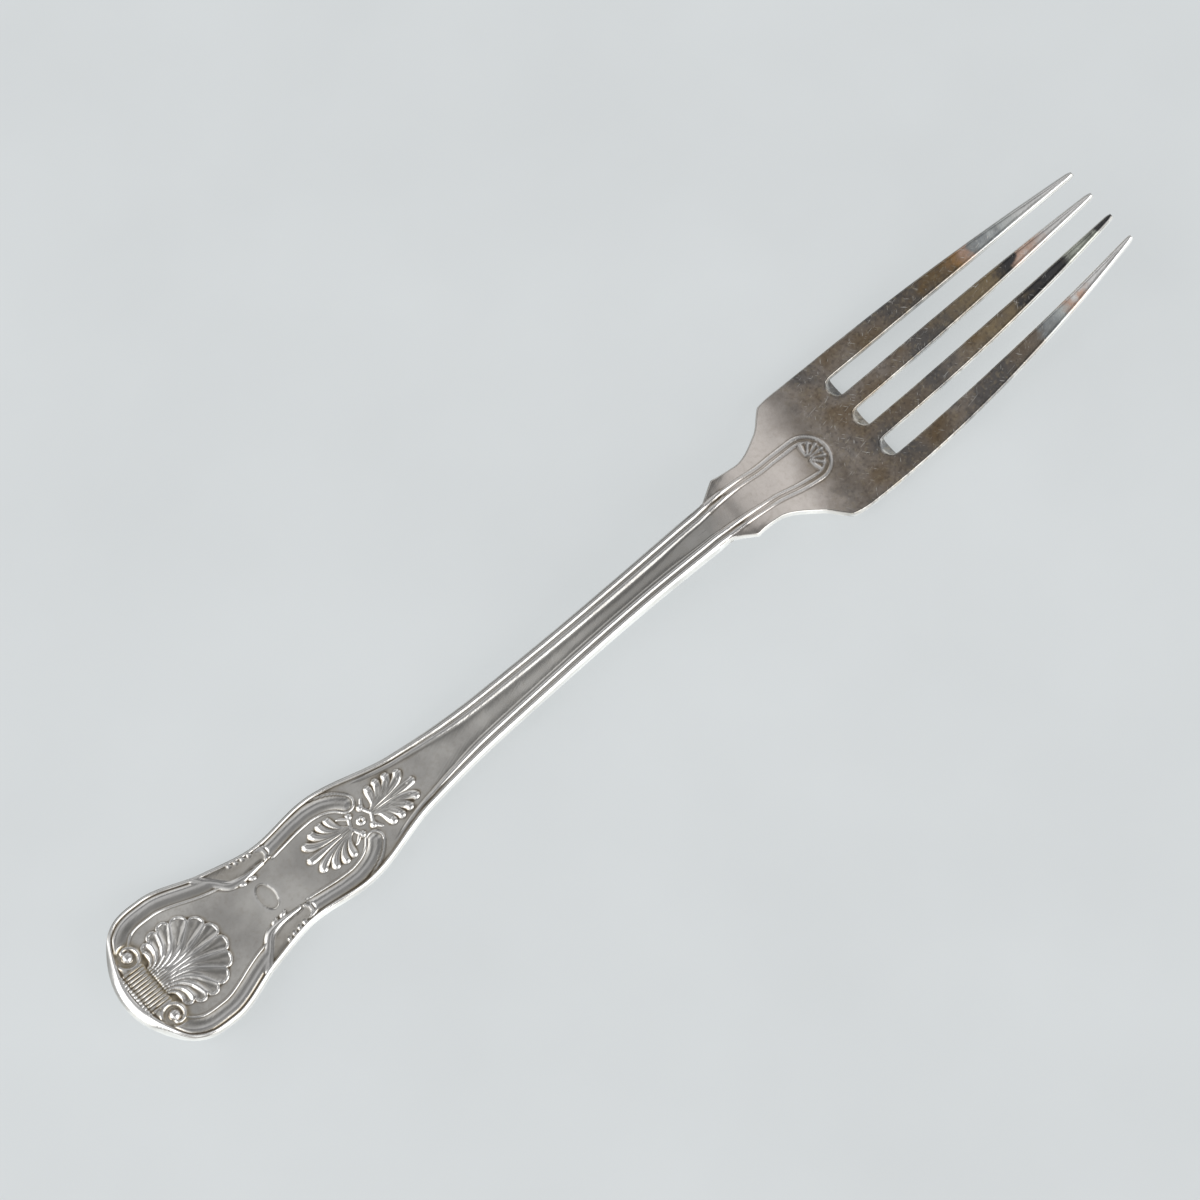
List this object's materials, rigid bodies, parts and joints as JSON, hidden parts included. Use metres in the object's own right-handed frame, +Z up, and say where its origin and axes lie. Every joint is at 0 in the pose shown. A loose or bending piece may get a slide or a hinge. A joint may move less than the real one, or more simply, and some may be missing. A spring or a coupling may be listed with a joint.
{
  "type": "table fork",
  "caption": "Silver table fork struck in one piece, with a shell and honeysuckle handle, a threaded stem and slender upturned tines.",
  "frame": {"origin": "middle of the fork's outline, on the table that it lies on", "axes": "+X from the handle's end to the tips of the tines, +Z up, with the fork lying face up"},
  "size_m": [0.206, 0.0252, 0.0126],
  "materials": {
    "silver": "polished silver, dulled and tarnished by age"
  },
  "bodies": {
    "root": {"table_fork": "silver"}
  },
  "joints": []
}
